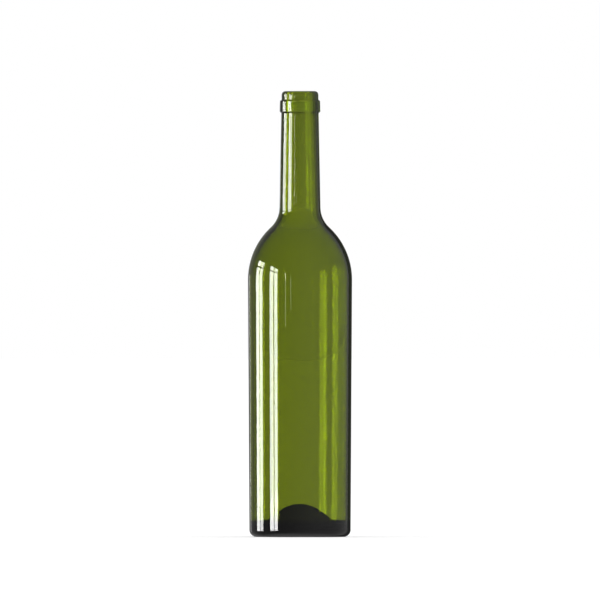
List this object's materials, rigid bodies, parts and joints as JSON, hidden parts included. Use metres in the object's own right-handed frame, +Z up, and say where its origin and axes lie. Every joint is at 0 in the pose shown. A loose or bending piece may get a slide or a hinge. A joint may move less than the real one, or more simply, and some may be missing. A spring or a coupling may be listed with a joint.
{
  "type": "wine bottle",
  "caption": "Empty, open Bordeaux wine bottle of olive green glass: straight body, round high shoulder, slim neck with a collar under the lip, and a punt in the base.",
  "frame": {"origin": "centre of the ring that the bottle stands on, in the plane it stands on", "axes": "+Z up along the bottle's axis, from the base to the mouth"},
  "size_m": [0.076, 0.0758, 0.325],
  "materials": {
    "olive_glass": "smooth clear glass, olive green right through"
  },
  "bodies": {
    "root": {"bottle": "olive_glass"}
  },
  "joints": []
}
